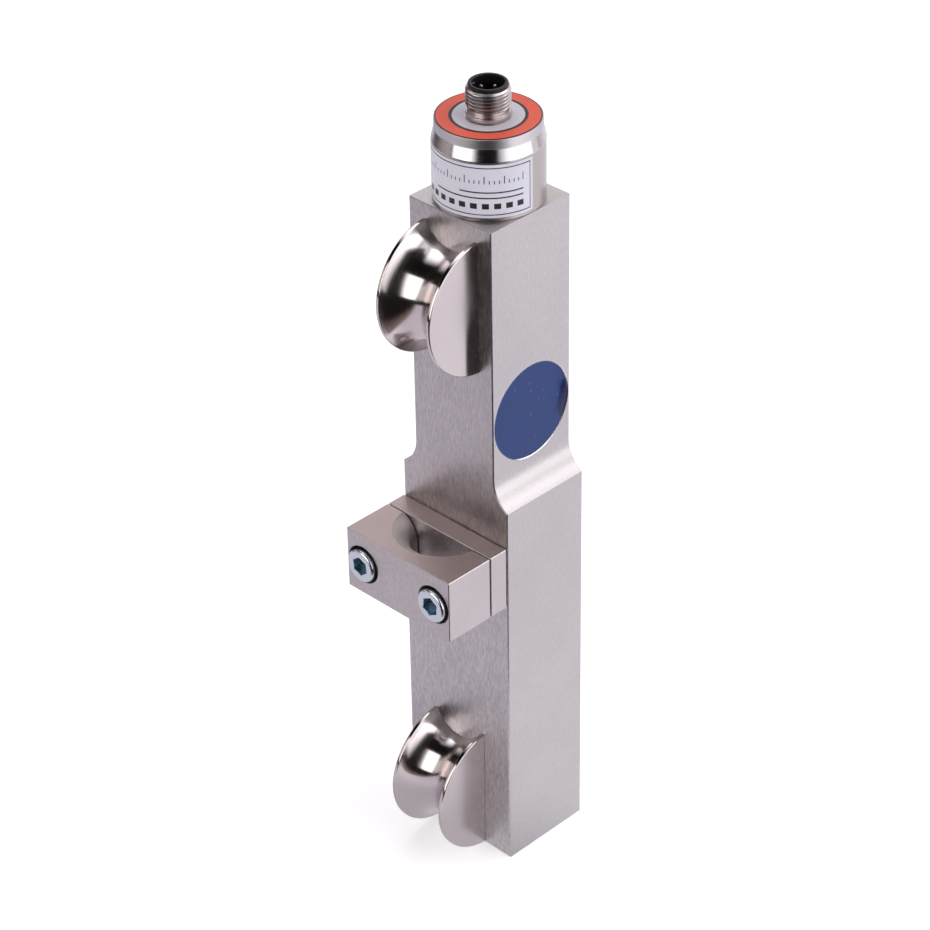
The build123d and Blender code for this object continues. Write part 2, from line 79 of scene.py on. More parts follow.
back = horizontal(AZIMUTH, math.cos(ELEVATION), math.sin(ELEVATION))
right = Vector((math.cos(AZIMUTH), math.sin(AZIMUTH), 0))
up = back.cross(right)
eye = Vector((0, 0, AIM_HEIGHT)) + back * DISTANCE + right * MOVE_RIGHT + up * MOVE_UP
turn = Matrix((right, up, back)).transposed().to_4x4() @ Matrix.Rotation(ROLL, 4, "Z")
camera = bpy.data.objects.new("camera", bpy.data.cameras.new("camera"))
camera.data.sensor_width = SENSOR
camera.data.lens = FOCAL_PIXELS * SENSOR / FRAME_PIXELS
camera.data.clip_end = 20
camera.matrix_world = Matrix.Translation(eye) @ turn
bpy.context.scene.collection.objects.link(camera)
bpy.context.scene.camera = camera
bpy.context.scene.view_settings.view_transform = "Standard"
print("lens in mm:", round(camera.data.lens, 1))

# %% [markdown]
# ## Nodes
# Every finish is a few nodes, so one helper makes a node, sets its options, and fills its
# inputs with a value or with another node's output. Four more do that for the kinds that
# come back most, and hand on the output instead of the node.

# %% Node helpers


def node(tree, kind, inputs=None, **options):
    """A new node, with its options and inputs."""
    made = tree.nodes.new(kind)
    for key, value in options.items():
        setattr(made, key, value)
    for key, value in (inputs or {}).items():
        if isinstance(value, bpy.types.NodeSocket):
            tree.links.new(value, made.inputs[key])
        else:
            made.inputs[key].default_value = value
    return made


def math_node(tree, operation, *values):
    """A Math node's output."""
    made = node(tree, "ShaderNodeMath", dict(enumerate(values)), operation=operation)
    return made.outputs[0]


def vector_math(tree, operation, *values):
    """A Vector Math node's output: a number for a length or a dot product."""
    made = node(tree, "ShaderNodeVectorMath", dict(enumerate(values)), operation=operation)
    return made.outputs["Value" if operation in ("LENGTH", "DOT_PRODUCT") else "Vector"]


def map_range(tree, *values, **options):
    """A Map Range node's output, from the value, what it runs between, and the new ends."""
    return node(tree, "ShaderNodeMapRange", dict(enumerate(values)), **options).outputs[0]


def blend(tree, factor, first, second):
    """A Mix node's output between two colours."""
    made = node(tree, "ShaderNodeMix", {0: factor, 6: first, 7: second}, data_type="RGBA")
    return made.outputs[2]


print("helpers:", [helper.__name__ for helper in (math_node, vector_math, map_range, blend)])

# %% [markdown]
# ## From bmesh to object
# A bmesh is only a workbench. When a piece is done on it, its doubles are merged, its
# normals are turned outwards, and it becomes an object that is smooth where the piece is
# round and sharp at real corners. Weighted normals keep the flat faces beside a bevel flat.

# %% Object from a bmesh
SHARP = math.radians(38)
WELD = 1e-7


def object_of(name, bm, *materials, weighted=True):
    """An object from a bmesh, in place, with smooth faces and sharp corners."""
    bmesh.ops.remove_doubles(bm, verts=bm.verts, dist=WELD)
    bmesh.ops.recalc_face_normals(bm, faces=bm.faces)
    for face in bm.faces:
        face.smooth = True
    for edge in bm.edges:
        edge.smooth = len(edge.link_faces) == 2 and edge.calc_face_angle() < SHARP
    mesh = bpy.data.meshes.new(name)
    bm.to_mesh(mesh)
    bm.free()
    for material in materials:
        mesh.materials.append(material)
    made = bpy.data.objects.new(name, mesh)
    bpy.context.scene.collection.objects.link(made)
    if weighted:
        normals = made.modifiers.new("flat faces stay flat", "WEIGHTED_NORMAL")
        normals.keep_sharp = True
    return made


print("corners sharper than", round(math.degrees(SHARP)), "degrees stay sharp")

# %% [markdown]
# ## Lathe and edge breaker
# Most pieces here come off a lathe, and lose the sharpness of their edges after it. So two
# helpers do the same to a bmesh: one spins an outline, the other bevels a list of edges.

# %% Lathe and bevel


def lathe(bm, outline, steps, centre=(0, 0, 0), axis=(0, 0, 1), closed=False):
    """Spins a row of points a full turn about an axis."""
    points = [bm.verts.new(point) for point in outline]
    after = points[1:] + points[:1] if closed else points[1:]
    edges = [bm.edges.new(pair) for pair in zip(points, after)]
    bmesh.ops.spin(bm, geom=points + edges, cent=centre, axis=axis, angle=2 * math.pi,
                   steps=steps, use_merge=True)
    bmesh.ops.remove_doubles(bm, verts=bm.verts, dist=WELD)


def break_edges(bm, edges, size, segments):
    """Bevels the edges, round in so many segments."""
    bmesh.ops.bevel(bm, geom=edges, offset=size, offset_type="OFFSET", segments=segments,
                    profile=0.5, affect="EDGES", material=-1)


print("points closer than", WELD, "m are joined")

# %% [markdown]
# ## World
# Metal shows the room, so the room is part of its finish. The surroundings are plain white
# where they are seen, straight on or in a mirror, and a dimmer fill where they light the
# bar. The Light Path node tells the two uses apart.

# %% World
WHITE = (1, 1, 1, 1)
FILL = (0.80, 0.79, 0.81, 1)
FILL_STRENGTH = 0.55


def seen_directly(tree):
    """1 for rays from the camera and for mirrored and refracted ones, else 0."""
    path = node(tree, "ShaderNodeLightPath")
    mirrored = math_node(tree, "MAXIMUM", path.outputs["Is Glossy Ray"],
                         path.outputs["Is Transmission Ray"])
    return math_node(tree, "MAXIMUM", path.outputs["Is Camera Ray"], mirrored)


world = bpy.data.worlds.new("studio")
bpy.context.scene.world = world
world.use_nodes = True
tree = world.node_tree
tree.nodes.clear()
fill = node(tree, "ShaderNodeBackground", {"Color": FILL, "Strength": FILL_STRENGTH})
backdrop = node(tree, "ShaderNodeBackground", {"Color": WHITE, "Strength": 1.0})
mixed = node(tree, "ShaderNodeMixShader",
             {0: seen_directly(tree), 1: fill.outputs[0], 2: backdrop.outputs[0]})
node(tree, "ShaderNodeOutputWorld", {"Surface": mixed.outputs[0]})
print("world nodes:", len(tree.nodes))

# %% [markdown]
# ## Floor
# The floor is a disc of white paper. It glows a little for the camera, so that it is as
# white as the backdrop and still takes the bar's shadow. In a mirror it is slightly blue,
# greyer on the camera's side, and darker in a small pool before the bar's foot, as paper is
# in the shade of what stands on it. The pool's edge is the distance from a small box.

# %% Floor
FLOOR_COLOUR = (0.80, 0.79, 0.80, 1)
FLOOR_GLOW = 0.50
FLOOR_RADIUS = 0.68
FLOOR_LIGHT = (1.0, 0.99, 1.07, 1)
FLOOR_SHADE = (0.74, 0.705, 0.80, 1)
SHADE_AZIMUTH = 118
SHADE_FROM, SHADE_TO = -0.07, 0.05
POOL_CENTRE = (-0.005, -0.032, 0)
POOL_HALF = (0.025, 0.006, 0)
POOL_REACH = 0.050
POOL_LIGHT = 0.70


def bare_material(name):
    """A material whose node tree is still empty, and that tree."""
    made = bpy.data.materials.new(name)
    made.use_nodes = True
    made.node_tree.nodes.clear()
    return made, made.node_tree


floor_material, tree = bare_material("paper_floor")
path = node(tree, "ShaderNodeLightPath")
paper = node(tree, "ShaderNodeBsdfDiffuse", {"Color": FLOOR_COLOUR})
glow = node(tree, "ShaderNodeEmission", {"Color": WHITE, "Strength": FLOOR_GLOW})
lit = node(tree, "ShaderNodeAddShader", {0: paper.outputs[0], 1: glow.outputs[0]})
shown = node(tree, "ShaderNodeMixShader",
             {0: path.outputs["Is Camera Ray"], 1: paper.outputs[0], 2: lit.outputs[0]})
place = node(tree, "ShaderNodeTexCoord").outputs["Object"]
away = horizontal(math.radians(SHADE_AZIMUTH), 1, 0)
depth = vector_math(tree, "DOT_PRODUCT", place, away)
bright = map_range(tree, depth, SHADE_FROM, SHADE_TO, interpolation_type="SMOOTHSTEP")
shade = blend(tree, bright, FLOOR_SHADE, FLOOR_LIGHT)
offset = vector_math(tree, "SUBTRACT", place, POOL_CENTRE)
offset = vector_math(tree, "ABSOLUTE", offset)
offset = vector_math(tree, "SUBTRACT", offset, POOL_HALF)
offset = vector_math(tree, "MAXIMUM", offset, (0, 0, 0))
from_foot = vector_math(tree, "LENGTH", offset)
pool = map_range(tree, from_foot, 0.0, POOL_REACH, POOL_LIGHT, 1.0,
                 interpolation_type="SMOOTHSTEP")
mirrored = node(tree, "ShaderNodeEmission", {"Color": shade, "Strength": pool})
surface = node(tree, "ShaderNodeMixShader",
               {0: path.outputs["Is Glossy Ray"], 1: shown.outputs[0], 2: mirrored.outputs[0]})
node(tree, "ShaderNodeOutputMaterial", {"Surface": surface.outputs[0]})

bm = bmesh.new()
bmesh.ops.create_circle(bm, cap_ends=True, segments=96, radius=FLOOR_RADIUS)
floor = object_of("floor", bm, floor_material, weighted=False)
print("floor across in m:", 2 * FLOOR_RADIUS)

# %% [markdown]
# ## Panels
# The grooves of the two deflectors work as two mirrors at different heights, and what they
# show fixes the place of each panel: a tilted softbox at the front left with a dimmer panel
# beside it, a tall one at the right, and one overhead at the back left. The one behind
# lights the concave step and the cap's slope, and a grey card under it darkens the slope's
# end. Each panel is one face whose light falls off towards its sides, as a softbox's does.

# %% Panel helpers


def panel_material(name, colour, strength, fade):
    """Light that is even over the panel and falls off towards the sides that fade."""
    made, tree = bare_material(name)
    place = node(tree, "ShaderNodeUVMap", uv_map="panel")
    across = node(tree, "ShaderNodeSeparateXYZ", {0: place.outputs[0]})
    left_fade, right_fade, low_fade, high_fade = fade
    light = strength
    sides = ((across.outputs[0], left_fade, 0), (across.outputs[0], right_fade, 1),
             (across.outputs[1], low_fade, 0), (across.outputs[1], high_fade, 1))
    for position, width, end in sides:
        if width:
            inward = width if end == 0 else 1 - width
            ramp = map_range(tree, position, float(end), inward, interpolation_type="SMOOTHSTEP")
            light = math_node(tree, "MULTIPLY", ramp, light)
    glow = node(tree, "ShaderNodeEmission", {"Color": colour, "Strength": light})
    node(tree, "ShaderNodeOutputMaterial", {"Surface": glow.outputs[0]})
    return made


def panel(name, corners, colour, strength, fade=(0, 0, 0, 0)):
    """A flat panel of light from its corners: low left, low right, high right, high left."""
    bm = bmesh.new()
    face = bm.faces.new([bm.verts.new(corner) for corner in corners])
    layer = bm.loops.layers.uv.new("panel")
    for loop, place in zip(face.loops, ((0, 0), (1, 0), (1, 1), (0, 1))):
        loop[layer].uv = place
    mesh = bpy.data.meshes.new(name)
    bm.to_mesh(mesh)
    bm.free()
    mesh.materials.append(panel_material(name, colour, strength, fade))
    made = bpy.data.objects.new(name, mesh)
    made.visible_camera = False
    bpy.context.scene.collection.objects.link(made)
    print(name, "strength", strength)


def standing(azimuth, width, low, high):
    """The corners of a panel that faces the bar, between two (distance, height) edges."""
    angle = math.radians(azimuth)
    side = Vector((math.cos(angle), math.sin(angle), 0)) * width / 2
    bottom = horizontal(angle, *low)
    top = horizontal(angle, *high)
    return (bottom - side, bottom + side, top + side, top - side)


# %% Panels
# Each line: azimuth, width, the low and the high edge, then colour, strength and fade.
panel("key_softbox", standing(-4, 0.66, (0.70, 0.082), (0.42, 0.487)),
      (1.0, 0.985, 0.985, 1), 2.4, fade=(0.12, 0.34, 0.05, 0.06))
panel("dim_panel", standing(-60, 0.70, (0.72, 0.082), (0.60, 0.40)),
      (0.78, 0.71, 0.69, 1), 0.85, fade=(0.35, 0, 0, 0.1))
panel("tall_softbox", standing(97, 2.75, (1.55, -0.35), (1.40, 2.6)),
      (0.98, 0.975, 1.0, 1), 2.05, fade=(0.44, 0.05, 0.03, 0.25))
panel("side_softbox", standing(150, 1.1, (1.5, 0.42), (1.1, 2.0)),
      (1.0, 0.99, 1.04, 1), 2.6, fade=(0.25, 0.25, 0.2, 0.25))
panel("grey_card", standing(168, 0.50, (1.0, 0.0), (1.0, 0.36)),
      (0.10, 0.095, 0.15, 1), 1.0)
TOP_HEIGHT = 0.78
top_in = horizontal(math.radians(-105), -0.06, TOP_HEIGHT)
top_out = horizontal(math.radians(-105), 0.86, TOP_HEIGHT - 0.06)
top_side = horizontal(math.radians(-15), 0.36, 0)
panel("top_softbox",
      (top_in - top_side, top_in + top_side, top_out + top_side, top_out - top_side),
      (1.0, 0.99, 1.05, 1), 2.1, fade=(0.3, 0.4, 0.1, 0.45))

# %% [markdown]
# ## Dark room
# Without something dark to mirror, polished metal looks like grey plastic. So the studio is
# dark behind the camera: a part of a sphere, lined with cloth. One point is spun upright
# into an arc, and the arc is spun round the bar.

# %% Dark room behind the camera
ROOM_RADIUS = 1.9
ROOM_FROM, ROOM_TO = math.radians(-112), math.radians(80)
ROOM_LOW, ROOM_HIGH = math.radians(-35), math.radians(78)
CLOTH = {"Base Color": (0.012, 0.010, 0.010, 1), "Specular IOR Level": 0.0, "Roughness": 1.0}

dark = bpy.data.materials.new("dark_cloth")
dark.use_nodes = True
for key, value in CLOTH.items():
    dark.node_tree.nodes["Principled BSDF"].inputs[key].default_value = value

bm = bmesh.new()
start = bm.verts.new(horizontal(ROOM_FROM, ROOM_RADIUS * math.cos(ROOM_LOW),
                                ROOM_RADIUS * math.sin(ROOM_LOW)))
axis = Vector((math.cos(ROOM_FROM), math.sin(ROOM_FROM), 0))
bmesh.ops.spin(bm, geom=[start], cent=(0, 0, 0), axis=-axis, angle=ROOM_HIGH - ROOM_LOW, steps=24)
bmesh.ops.spin(bm, geom=bm.verts[:] + bm.edges[:], cent=(0, 0, 0), axis=(0, 0, 1),
               angle=ROOM_TO - ROOM_FROM, steps=48)
room = object_of("dark_room", bm, dark, weighted=False)
room.visible_camera = False
print("dark room faces:", len(room.data.polygons))

# %% [markdown]
# ## Cards on the floor
# Two cards lie flat on the paper, where only mirrors show them. The large one gives the
# grooves their dark band. It is brown along its near edge and darkens with distance, and a
# plane trims its corner. The small one lies behind the bar and shows in the glossy resin.

# %% Cards
CARD_HEIGHT = 1.5 * MM
CARD_START = 0.102
CARD_REACH = 0.67
CARD_AZIMUTH = 48
CARD_LEFT, CARD_RIGHT = 0.66, 0.60
CARD_EDGE = 0.11
CARD_TRIM = (0, -0.035, 0)
CARD_BROWN = (0.24, 0.18, 0.165, 1)
CARD_DARK = (0.014, 0.011, 0.011, 1)
SMALL_CARD = ((161.9, 165.7), (170.3, 176.9), (176.4, 184.0), (177.6, 188.2), (177.0, 195.0),
              (170.5, 179.8))


def only_mirrored(card):
    """Keeps a card out of the picture and out of the light, so that only mirrors show it."""
    card.visible_camera = False
    card.visible_shadow = False
    card.visible_diffuse = False


card_material, tree = bare_material("card")
angle = math.radians(CARD_AZIMUTH)
place = node(tree, "ShaderNodeTexCoord").outputs["Object"]
depth = vector_math(tree, "DOT_PRODUCT", place, horizontal(angle, 1, 0))
dusk = map_range(tree, depth, CARD_START, CARD_START + CARD_EDGE,
                 interpolation_type="SMOOTHSTEP")
glow = node(tree, "ShaderNodeEmission",
            {"Color": blend(tree, dusk, CARD_BROWN, CARD_DARK), "Strength": 1.0})
node(tree, "ShaderNodeOutputMaterial", {"Surface": glow.outputs[0]})

bm = bmesh.new()
side = Vector((math.cos(angle), math.sin(angle), 0))
near = horizontal(angle, CARD_START, CARD_HEIGHT)
far = horizontal(angle, CARD_REACH, CARD_HEIGHT)
corners = (near - side * CARD_LEFT, near + side * CARD_RIGHT,
           far + side * CARD_RIGHT, far - side * CARD_LEFT)
bm.faces.new([bm.verts.new(corner) for corner in corners])
bmesh.ops.bisect_plane(bm, geom=bm.verts[:] + bm.edges[:] + bm.faces[:], plane_co=CARD_TRIM,
                       plane_no=(0, 1, 0), clear_outer=True)
card = object_of("dark_card", bm, card_material, weighted=False)
only_mirrored(card)

bm = bmesh.new()
bm.faces.new([bm.verts.new((x * MM, y * MM, CARD_HEIGHT)) for x, y in SMALL_CARD])
small_card = object_of("small_card", bm, dark, weighted=False)
only_mirrored(small_card)

# %% [markdown]
# ## Shared effects
# Three effects come back in many finishes, so each is a node group with its own inputs.
# Grinding leaves fine straight lines, turning leaves fine rings about an axis, and every
# surface has some slow cloudiness from handling and from the casting or rolling before it.
# The bumps are shallow: on bright metal the lines are mostly a change of tone.

# %% Ground lines
GROUND_RELIEF = 0.16 * MM
FINE_RELIEF = 0.05 * MM
NUMBER, VECTOR = "NodeSocketFloat", "NodeSocketVector"


def group_of(name, inputs, outputs):
    """An empty node group with its sockets, and its input and output nodes."""
    made = bpy.data.node_groups.new(name, "ShaderNodeTree")
    for label, kind, value in inputs:
        socket = made.interface.new_socket(name=label, in_out="INPUT", socket_type=kind)
        if value is not None:
            socket.default_value = value
    for label, kind in outputs:
        made.interface.new_socket(name=label, in_out="OUTPUT", socket_type=kind)
    return made, made.nodes.new("NodeGroupInput"), made.nodes.new("NodeGroupOutput")


ground_lines, entry, leave = group_of(
    "ground_lines",
    [("Vector", VECTOR, None), ("Stretch", VECTOR, (1, 1, 1)), ("Depth", NUMBER, 0.1)],
    [("Lines", NUMBER), ("Normal", VECTOR)])
scaled = vector_math(ground_lines, "MULTIPLY", entry.outputs["Vector"], entry.outputs["Stretch"])
coarse = node(ground_lines, "ShaderNodeTexNoise",
              {"Vector": scaled, "Scale": 1.0, "Detail": 2.0, "Roughness": 0.6})
bump = node(ground_lines, "ShaderNodeBump",
            {"Height": coarse.outputs[0], "Strength": entry.outputs["Depth"],
             "Distance": GROUND_RELIEF})
ground_lines.links.new(coarse.outputs[0], leave.inputs["Lines"])
ground_lines.links.new(bump.outputs[0], leave.inputs["Normal"])
print("ground lines:", len(ground_lines.nodes), "nodes")

# %% Turned rings
turned_rings, entry, leave = group_of(
    "turned_rings",
    [("Vector", VECTOR, None), ("Pitch", NUMBER, 3000.0), ("Depth", NUMBER, 0.1)],
    [("Lines", NUMBER), ("Normal", VECTOR)])
parts = node(turned_rings, "ShaderNodeSeparateXYZ", {0: entry.outputs["Vector"]})
flat = node(turned_rings, "ShaderNodeCombineXYZ", {0: parts.outputs[0], 1: parts.outputs[1]})
radius = vector_math(turned_rings, "LENGTH", flat.outputs[0])
pitch = entry.outputs["Pitch"]
rings = node(turned_rings, "ShaderNodeCombineXYZ",
             {0: math_node(turned_rings, "MULTIPLY", radius, pitch),
              1: math_node(turned_rings, "MULTIPLY", parts.outputs[2], pitch)})
noise = node(turned_rings, "ShaderNodeTexNoise",
             {"Vector": rings.outputs[0], "Scale": 1.0, "Detail": 3.0, "Roughness": 0.6})
bump = node(turned_rings, "ShaderNodeBump",
            {"Height": noise.outputs[0], "Strength": entry.outputs["Depth"],
             "Distance": FINE_RELIEF})
turned_rings.links.new(noise.outputs[0], leave.inputs["Lines"])
turned_rings.links.new(bump.outputs[0], leave.inputs["Normal"])
print("turned rings:", len(turned_rings.nodes), "nodes")

# %% Cloudiness
NOISE_LOW, NOISE_HIGH = 0.3, 0.7
cloudiness, entry, leave = group_of(
    "cloudiness",
    [("Vector", VECTOR, None), ("Scale", NUMBER, 60.0), ("Low", NUMBER, 0.9),
     ("High", NUMBER, 1.1)],
    [("Value", NUMBER)])
noise = node(cloudiness, "ShaderNodeTexNoise",
             {"Vector": entry.outputs["Vector"], "Scale": entry.outputs["Scale"], "Detail": 4.0})
spread = map_range(cloudiness, noise.outputs[0], NOISE_LOW, NOISE_HIGH,
                   entry.outputs["Low"], entry.outputs["High"], clamp=False)
cloudiness.links.new(spread, leave.inputs["Value"])
print("node groups:", [g.name for g in bpy.data.node_groups])

# %% [markdown]
# ## Starting a material
# Every finish starts the same way, with a Principled shader and object coordinates. Noise
# stays mostly between 0.3 and 0.7, so a mask is spread from there to the values wanted.

# %% Material helpers


def start_material(name):
    """A material with its tree, its Principled shader and its object coordinates."""
    made = bpy.data.materials.new(name)
    made.use_nodes = True
    tree = made.node_tree
    place = node(tree, "ShaderNodeTexCoord")
    return made, tree, tree.nodes["Principled BSDF"], place.outputs["Object"]


def use_group(tree, group, **inputs):
    """A node group placed in a material, with its values."""
    return node(tree, "ShaderNodeGroup", inputs, node_tree=group)


def varied_colour(tree, colour, factor):
    """A colour made lighter and darker by a factor near 1."""
    return vector_math(tree, "MULTIPLY", colour[:3], factor)


def centred(tree, factor, low, high):
    """A noise mask turned into a factor between two values."""
    return map_range(tree, factor, NOISE_LOW, NOISE_HIGH, low, high, clamp=False)


print("noise runs from about", NOISE_LOW, "to", NOISE_HIGH)

# %% [markdown]
# ## Ground steel
# Ground steel is metallic with a middling roughness: it shows the room as a soft smear, and
# the fine lines run along the bar. The wide front and back take more passes of the wheel,
# so their grain is stronger. Faces that lean between front and top, such as the flared
# mouths of the clamp, are rougher, and a level top may be painted warmer and darker, as a
# painted shade. The edge bored round the gauge pocket is the last cut on the bar, so it is
# smoother, and its colour there is brighter as a painted highlight.

# %% Ground steel
RIM_FROM, RIM_FULL, RIM_WEAR = 0.15, 0.4, 2.0
TOP_FROM, TOP_FULL = 0.9, 0.99
FRONT_GRAIN = 2.9
RING_PAINTED_HIGHLIGHT = 1.3
RING_ROUGHNESS = 0.26
RING_HALF, RING_END = 0.14 * MM, 0.22 * MM


def ring_mask(tree, place, height, radius):
    """1 on the freshly cut edge round a pocket whose axis is X, else 0."""
    moved = vector_math(tree, "SUBTRACT", place, (0, 0, height))
    reach = vector_math(tree, "LENGTH", vector_math(tree, "MULTIPLY", moved, (0, 1, 1)))
    off = math_node(tree, "ABSOLUTE", math_node(tree, "SUBTRACT", reach, radius))
    return map_range(tree, off, RING_HALF, RING_END, 1.0, 0.0)


def ground_steel(name, colour, roughness, stretch, depth, contrast=0.02, run=(0.01, 0.01, 1),
                 smear=0.5, top_shade_colour=(1, 1, 1), ring=None):
    """Steel with straight grinding lines: long along one axis, fine across it."""
    made, tree, shader, place = start_material(name)
    facing = node(tree, "ShaderNodeNewGeometry").outputs["Normal"]
    across = vector_math(tree, "CROSS_PRODUCT", facing, run)
    tree.links.new(across, shader.inputs["Tangent"])
    shader.inputs["Anisotropic"].default_value = smear
    face = node(tree, "ShaderNodeSeparateXYZ", {0: facing})
    both = math_node(tree, "MULTIPLY", face.outputs[1], face.outputs[2])
    rim = map_range(tree, math_node(tree, "ABSOLUTE", both), RIM_FROM, RIM_FULL, 1.0, RIM_WEAR)
    # Painted shade: a level top is tinted warmer and darker.
    top = map_range(tree, face.outputs[2], TOP_FROM, TOP_FULL)
    painted_top_shade = blend(tree, top, WHITE, (*top_shade_colour, 1))
    lines = use_group(tree, ground_lines, Vector=place, Stretch=stretch, Depth=depth)
    clouds = use_group(tree, cloudiness, Vector=place, Scale=45.0, Low=0.97, High=1.03)
    front = math_node(tree, "MULTIPLY_ADD", math_node(tree, "ABSOLUTE", face.outputs[1]),
                      FRONT_GRAIN - 1.0, 1.0)
    grain = math_node(tree, "MULTIPLY",
                      centred(tree, lines.outputs["Lines"], -contrast, contrast), front)
    shade = math_node(tree, "MULTIPLY", math_node(tree, "ADD", grain, 1.0), clouds.outputs[0])
    edge = ring_mask(tree, place, *ring) if ring else None
    # Painted highlight: the colour on the freshly cut ring is made brighter; its lower roughness
    # is real.
    if edge:
        shade = math_node(tree, "MULTIPLY", shade,
                          math_node(tree, "MULTIPLY_ADD", edge, RING_PAINTED_HIGHLIGHT - 1.0, 1.0))
    tinted = vector_math(tree, "MULTIPLY", varied_colour(tree, colour, shade), painted_top_shade)
    tree.links.new(tinted, shader.inputs["Base Color"])
    rough = math_node(tree, "MULTIPLY", roughness,
                      centred(tree, lines.outputs["Lines"], 0.85, 1.15))
    rough = math_node(tree, "MULTIPLY", rough, rim)
    if edge:
        keep = math_node(tree, "SUBTRACT", 1.0, edge)
        rough = math_node(tree, "MULTIPLY_ADD", edge, RING_ROUGHNESS,
                          math_node(tree, "MULTIPLY", rough, keep))
    tree.links.new(rough, shader.inputs["Roughness"])
    tree.links.new(lines.outputs["Normal"], shader.inputs["Normal"])
    shader.inputs["Metallic"].default_value = 1.0
    return made


# %% [markdown]
# ## Turned steel
# A lathe leaves rings round the axis of the piece, and light smears across them. The
# deflectors lie on their side, so a Mapping node lays their axis along Z first. Three
# options tell pieces apart: face_wear dulls the flat faces square to the axis, band dulls
# what lies above a height, and underside_shade is a painted shade: a darker colour on
# flanks that face down, as a thread's under side lies in shade.

# %% Turned steel
FACE_FROM, FACE_FULL = 0.97, 0.999
UNDERSIDE_SHADE_FROM, UNDERSIDE_SHADE_FULL = 0.35, -0.1
BAND_BLUR = 0.05 * MM


def turned_steel(name, colour, roughness, centre=(0, 0, 0), tilt=(0, 0, 0), axis=(0, 0, 1),
                 pitch=2600.0, depth=0.05, contrast=0.02, stretch=0.6, face_wear=1.0,
                 band=None, underside_shade=None):
    """Steel turned on a lathe: fine rings round an axis that the mapping lays along Z."""
    made, tree, shader, place = start_material(name)
    moved = vector_math(tree, "SUBTRACT", place, centre)
    tree.links.new(vector_math(tree, "CROSS_PRODUCT", axis, moved), shader.inputs["Tangent"])
    shader.inputs["Anisotropic"].default_value = stretch
    shader.inputs["Anisotropic Rotation"].default_value = 0.25
    laid = node(tree, "ShaderNodeMapping", {"Vector": moved, "Rotation": tilt})
    lines = use_group(tree, turned_rings, Vector=laid.outputs[0], Pitch=pitch, Depth=depth)
    clouds = use_group(tree, cloudiness, Vector=place, Scale=80.0, Low=0.98, High=1.02)
    streaks = centred(tree, lines.outputs["Lines"], 1 - contrast, 1 + contrast)
    shade = math_node(tree, "MULTIPLY", streaks, clouds.outputs[0])
    facing = node(tree, "ShaderNodeNewGeometry").outputs["Normal"]
    plain = varied_colour(tree, colour, shade)
    # Painted shade: flanks that face down get a darker colour.
    if underside_shade:
        down = node(tree, "ShaderNodeSeparateXYZ", {0: facing}).outputs[2]
        shaded_below = map_range(tree, down, UNDERSIDE_SHADE_FROM, UNDERSIDE_SHADE_FULL, interpolation_type="SMOOTHSTEP")
        plain = blend(tree, shaded_below, plain, (*underside_shade, 1))
    tree.links.new(plain, shader.inputs["Base Color"])
    rough = math_node(tree, "MULTIPLY", roughness,
                      centred(tree, lines.outputs["Lines"], 0.8, 1.2))
    square = math_node(tree, "ABSOLUTE", vector_math(tree, "DOT_PRODUCT", facing, axis))
    flat = map_range(tree, square, FACE_FROM, FACE_FULL, 1.0, face_wear)
    rough = math_node(tree, "MULTIPLY", rough, flat)
    if band:
        height = node(tree, "ShaderNodeSeparateXYZ", {0: place}).outputs[2]
        wear = map_range(tree, height, band[0] - BAND_BLUR, band[0] + BAND_BLUR, 1.0, band[1])
        rough = math_node(tree, "MULTIPLY", rough, wear)
    tree.links.new(rough, shader.inputs["Roughness"])
    tree.links.new(lines.outputs["Normal"], shader.inputs["Normal"])
    shader.inputs["Metallic"].default_value = 1.0
    return made


# %% [markdown]
# ## The metals
# Colours are the metal's own, because the panels and the floor do the rest, except for
# painted shade on the clamp's level top and on the thread's down-facing flanks, and a
# painted highlight round the gauge pocket. The stretch of the ground lines is their count
# per metre along X, Y and Z: fewest along Z, where they are longest. The cap's lip is
# duller than its slope. Inside a zinc-plated socket the light bounces several times and
# turns blue, so those faces have a tone of their own.

# %% Metals
ALONG_BAR = (2600, 1500, 550)
ALONG_JAW = (1800, 1800, 900)
ALONG_FOIL = (900, 4000, 900)
DULL_TOP = 2.7 * MM
RING_OFFSET = 0.1 * MM
LIP_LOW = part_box("housing_cap")[1].z - DULL_TOP
pocket_low, pocket_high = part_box("right_potting")
POCKET = ((pocket_low.z + pocket_high.z) / 2, (pocket_high.z - pocket_low.z) / 2 + RING_OFFSET)
body_steel = ground_steel("ground_bar", (0.566, 0.531, 0.533, 1), 0.37, ALONG_BAR, 0.32,
                          contrast=0.070, ring=POCKET)
# The clamp's level top gets a painted shade, warmer and darker.
clamp_steel = ground_steel("ground_clamp", (0.560, 0.513, 0.512, 1), 0.36, ALONG_JAW, 0.35,
                           contrast=0.04, smear=0.1, top_shade_colour=(0.84, 0.73, 0.71))
housing_steel = turned_steel("turned_housing", (0.60, 0.565, 0.575, 1), 0.20, depth=0.03,
                             band=(LIP_LOW, 1.9))
sleeve_steel = turned_steel("brushed_sleeve", (0.49, 0.438, 0.428, 1), 0.30, depth=0.04)
zinc_steel = turned_steel("zinc_plate", (0.66, 0.70, 0.745, 1), 0.20, stretch=0.3, depth=0.02)
plated_brass = turned_steel("nickel_plate", (0.54, 0.48, 0.47, 1), 0.22, depth=0.0)
# The thread's down-facing flanks get a painted shade.
threaded_brass = turned_steel("nickel_thread", (0.66, 0.595, 0.59, 1), 0.29, depth=0.0,
                              underside_shade=(0.17, 0.15, 0.15))
zinc_socket = turned_steel("zinc_in_the_socket", (0.36, 0.50, 0.58, 1), 0.24, stretch=0.0)
gold = turned_steel("gold_plate", (0.46, 0.38, 0.27, 1), 0.32)
foil = ground_steel("gauge_foil", (0.78, 0.60, 0.40, 1), 0.30, ALONG_FOIL, 0.05)
can = turned_steel("can_aluminium", (0.80, 0.81, 0.82, 1), 0.25)
print("metals:", len(bpy.data.materials))

